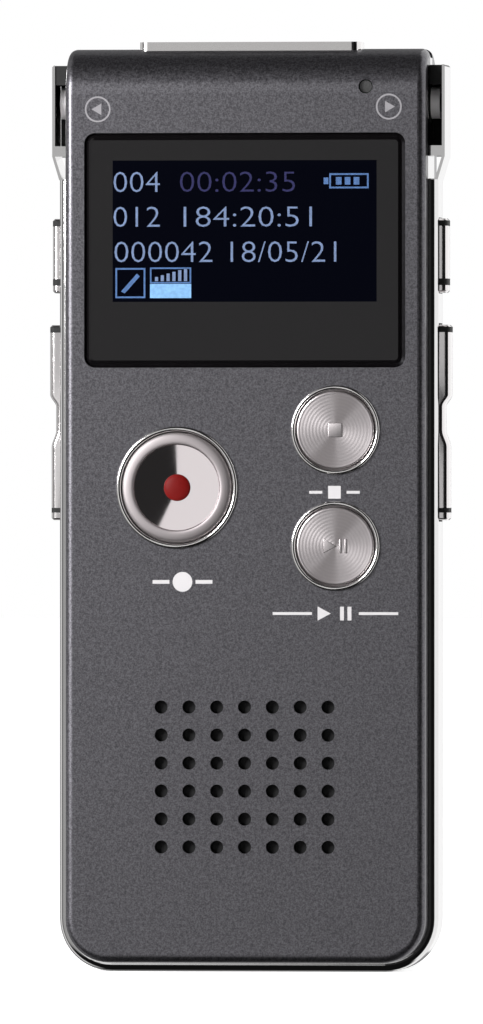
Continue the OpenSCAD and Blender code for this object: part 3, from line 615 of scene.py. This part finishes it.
def lens():
    """The window, with a broad polished bevel round its edge."""
    bm = bmesh.new()
    loops = []
    for inset, y in ((0, FACE_Y + 0.78), (0, FACE_Y + BEVEL_DEEP + 0.02), (0.03, FACE_Y + BEVEL_DEEP),
                     (BEVEL_W, FACE_Y)):
        radius = max(1.1 - inset, 0.3)
        outline = rounded_outline(LENS_X, LENS_Z, LENS_W - 2 * inset, LENS_H - 2 * inset, radius)
        loops.append([bm.verts.new((x, y, z)) for x, z in outline])
    for a, b in zip(loops, loops[1:]):
        for i in range(len(a)):
            j = (i + 1) % len(a)
            bm.faces.new([a[i], a[j], b[j], b[i]])
    bm.faces.new(loops[0])
    bm.faces.new(loops[-1])
    return bm


finish_piece("display_window", lens(), "lens_black", "case", "display_lens", sharp=8)
SHOW_Y = FACE_Y - 0.004
lit = prism([box_outline(ACTIVE_X, ACTIVE_Z, ACTIVE_W, ACTIVE_H)], SHOW_Y, FACE_Y + 0.05)
finish_piece("display_area", lit, "screen_dark", "case")
THIN = -0.014  # makes the built-in font's strokes thinner


def words(name, text, x, z, height, width, material):
    """Digits in the built-in font, fitted to a width and height, from their lower left corner."""
    curve = bpy.data.curves.new(name, "FONT")
    curve.body = text
    curve.resolution_u = 3
    curve.offset = THIN
    carrier = bpy.data.objects.new(name + "_text", curve)
    bpy.context.scene.collection.objects.link(carrier)
    bpy.context.view_layer.update()
    flat = bpy.data.meshes.new_from_object(carrier.evaluated_get(bpy.context.evaluated_depsgraph_get()))
    bpy.data.objects.remove(carrier)
    bpy.data.curves.remove(curve)
    bm = bmesh.new()
    bm.from_mesh(flat)
    bpy.data.meshes.remove(flat)
    xs = [v.co.x for v in bm.verts]
    ys = [v.co.y for v in bm.verts]
    sx = width / (max(xs) - min(xs))
    sz = height / (max(ys) - min(ys))
    x0, y0 = min(xs), min(ys)
    for v in bm.verts:
        v.co = (x + (v.co.x - x0) * sx, SHOW_Y - 0.002, z + (v.co.y - y0) * sz)
    deep = bmesh.ops.extrude_face_region(bm, geom=bm.faces[:])
    for v in (g for g in deep["geom"] if isinstance(g, bmesh.types.BMVert)):
        v.co.y -= 0.006
    finish_piece(name, bm, material, "case")


left_edge = ACTIVE_X - ACTIVE_W / 2
words("screen_track", "004", left_edge + 0.1, 82.75, 2.15, 4.95, "screen_white")
words("screen_elapsed", "00:02:35", left_edge + 7.2, 82.75, 2.15, 12.3, "screen_violet")
words("screen_folder", "012", left_edge + 0.1, 79.05, 2.15, 4.95, "screen_white")
words("screen_left", "184:20:51", left_edge + 7.6, 79.05, 2.15, 13.7, "screen_white")
words("screen_date", "000042 18/05/21", left_edge + 0.2, 75.3, 2.2, 23.7, "screen_white")

ICON_Y = SHOW_Y - 0.006


def outline_box(cx, cz, w, h, line):
    """Four thin bars round a rectangle."""
    dx, dz, side_h = (w - line) / 2, (h - line) / 2, h - 2 * line
    bars = [box_outline(cx, cz + dz, w, line), box_outline(cx, cz - dz, w, line)]
    return bars + [box_outline(cx - dx, cz, line, side_h), box_outline(cx + dx, cz, line, side_h)]


def screen_icon(name, outlines, material):
    """A lit icon on the display."""
    finish_piece(name, prism(outlines, ICON_Y, SHOW_Y), material, "case")


battery_x, battery_z = left_edge + 24.9, 83.9
battery = outline_box(battery_x + 0.35, battery_z, 4.2, 1.6, 0.18)
battery += [box_outline(battery_x - 2.1, battery_z, 0.5, 0.7)]
battery += [box_outline(battery_x - 0.75 + 0.95 * i, battery_z, 0.6, 0.8) for i in range(3)]
screen_icon("screen_battery", battery, "screen_blue")

tile_z = 73.1
pen_x = left_edge + 1.9
pen = [(pen_x - 1.0, tile_z - 0.9), (pen_x - 0.6, tile_z - 1.1), (pen_x + 1.0, tile_z + 0.7)]
pen += [(pen_x + 0.7, tile_z + 1.0)]
screen_icon("screen_source", outline_box(pen_x, tile_z, 3.2, 3.2, 0.18) + [pen], "screen_blue")

level_x, level_z = left_edge + 6.2, tile_z + 0.8
screen_icon("screen_quality_frame", outline_box(level_x, level_z, 4.4, 1.7, 0.16), "screen_blue")
levels = []
for i in range(6):
    levels.append(box_outline(level_x - 1.5 + 0.62 * i, tile_z + 0.42 + 0.09 * i, 0.34, 0.45 + 0.18 * i))
screen_icon("screen_level", levels, "screen_white")
screen_icon("screen_format", [box_outline(level_x, tile_z - 0.85, 4.4, 1.5)], "screen_fill")

# ------------------------------------------------------------------ printed signs
INK_Y = FACE_Y - 0.012


def printed(name, outlines, material="label_ink"):
    """Flat ink on the front cover."""
    finish_piece(name, prism(outlines, INK_Y, FACE_Y + 0.02), material, "case")


stop_x, _, stop_z = centre("stop_button")
play_x, _, play_z = centre("play_button")
sign_z = rec_z - 10.0
dashes = [box_outline(rec_x + dx, sign_z, 1.8, 0.4) for dx in (-1.7, 2.9)]
printed("record_label", [disc(rec_x + 0.6, sign_z, 1.05)] + dashes)

sign_z = stop_z - 6.6
dashes = [box_outline(stop_x + dx, sign_z, 1.4, 0.3) for dx in (-2.1, 1.9)]
printed("stop_label", [box_outline(stop_x - 0.1, sign_z, 1.35, 1.35)] + dashes)

sign_z = play_z - 7.15
arrow = [(play_x - 1.9, sign_z - 0.75), (play_x - 0.5, sign_z), (play_x - 1.9, sign_z + 0.75)]
bars = [box_outline(play_x + dx, sign_z, 0.42, 1.45) for dx in (0.7, 1.5)]
dashes = [box_outline(play_x + dx, sign_z, 4.2, 0.3) for dx in (-4.6, 4.6)]
printed("play_label", [arrow] + bars + dashes)

for hand, side, x, z in (("left", -1, -15.7, 91.55), ("right", 1, 15.4, 91.75)):
    bm = ring_bm(x, z, 1.38, 1.2, INK_Y, FACE_Y + 0.02)
    finish_piece(hand + "_mark_ring", bm, "mark_ink", "case")
    arrow = [(x + side * 0.65, z), (x - side * 0.4, z + 0.62), (x - side * 0.4, z - 0.62)]
    printed(hand + "_mark", [arrow], "mark_ink")

# ------------------------------------------------------------------ floor and light
FLOOR_LIFT = 0.7
floor_bm = bmesh.new()
bmesh.ops.create_grid(floor_bm, x_segments=1, y_segments=1, size=6)
floor_mesh = bpy.data.meshes.new("floor")
floor_bm.to_mesh(floor_mesh)
floor_bm.free()
floor = bpy.data.objects.new("floor", floor_mesh)
bpy.context.scene.collection.objects.link(floor)
floor.visible_glossy = False
floor_material, t, shader = new_material("floor", Roughness=0.9, Specular_IOR_Level=0.1)
speck = t.noise(t.coords(), 40, 2.0)
t.feed(shader.inputs["Base Color"], t.mix(speck, rgba(0.86, 0.86, 0.86), rgba(0.9, 0.9, 0.9)))
shader.inputs["Emission Color"].default_value = rgba(1, 1, 1)
seen = t.node("LightPath").outputs["Is Camera Ray"]
t.feed(shader.inputs["Emission Strength"], t.math("MULTIPLY", seen, FLOOR_LIFT))
floor_mesh.materials.append(floor_material)


def studio():
    """White for the camera; for reflections, a dim room with soft boxes and a bright rear wall."""
    world = bpy.data.worlds.new("studio")
    world.use_nodes = True
    bpy.context.scene.world = world
    t = Tree(world.node_tree)
    world.node_tree.nodes.clear()
    split = t.node("SeparateXYZ")
    t.feed(split.inputs[0], t.node("TexCoord").outputs["Generated"])
    x, y, z = split.outputs
    azimuth = t.math("MULTIPLY", t.math("ARCTAN2", x, t.math("MULTIPLY", y, -1.0)), 180 / math.pi)
    elevation = t.math("MULTIPLY", t.math("ARCSINE", z), 180 / math.pi)

    def band(value, low, high, edge):
        """One between low and high, fading to nothing over the edge."""
        rise = t.ramp(value, low - edge, low + edge)
        return t.math("MULTIPLY", rise, t.ramp(value, high - edge, high + edge, 1, 0))

    across = t.math("ADD", azimuth, 7.0)
    squares = [t.math("MULTIPLY", v, v) for v in (across, elevation)]
    off_axis = t.math("SQRT", t.math("ADD", *squares))
    around = t.math("MULTIPLY", t.math("ARCTAN2", elevation, across), 180 / math.pi)
    # a round soft box about the camera, with a black card over its right-hand part
    card = t.math("MULTIPLY", band(around, -91, 66, 2.0), t.ramp(off_axis, 6, 8))
    box = t.math("SUBTRACT", t.ramp(off_axis, 5, 9, 0.50, 0.80), t.math("MULTIPLY", card, 0.785))
    box = t.math("MULTIPLY", box, t.ramp(off_axis, 24, 32, 1, 0))
    total = t.math("ADD", box, 0.006)
    for az, el, strength in (
        ((-75, -32), (-28, 55), 0.36),  # soft light, left
        ((-185, -84), (-60, 60), 0.24),  # wall behind, left
        ((-122, -92), (-70, 70), 0.45),  # strip light, left
        ((70, 185), (-60, 62), 1.0),  # bright wall behind, right
        ((-30, 25), (28, 58), 0.04),  # above the camera
    ):
        patch = t.math("MULTIPLY", band(azimuth, *az, 5.0), band(elevation, *el, 6.0))
        total = t.math("ADD", total, t.math("MULTIPLY", patch, strength))
    seen = t.node("LightPath").outputs["Is Camera Ray"]
    background = t.node("Background")
    background.inputs["Color"].default_value = rgba(1, 1, 1)
    reflected = t.math("MULTIPLY", t.math("SUBTRACT", 1.0, seen), total)
    t.feed(background.inputs["Strength"], t.math("ADD", seen, reflected))
    out = t.node("OutputWorld")
    t.links.new(background.outputs[0], out.inputs["Surface"])


studio()


def soft_light(name, place, size, power):
    """An area light, sizes in metres, aimed at the middle of the recorder."""
    data = bpy.data.lights.new(name, "AREA")
    data.shape = "RECTANGLE"
    data.size, data.size_y = size
    data.energy = power
    lamp = bpy.data.objects.new(name, data)
    lamp.location = place
    lamp.rotation_euler = (Vector((0, 0, 0.05)) - Vector(place)).to_track_quat("-Z", "Y").to_euler()
    bpy.context.scene.collection.objects.link(lamp)


soft_light("key", (-0.25, -0.25, 0.17), (0.12, 0.18), 1.9)
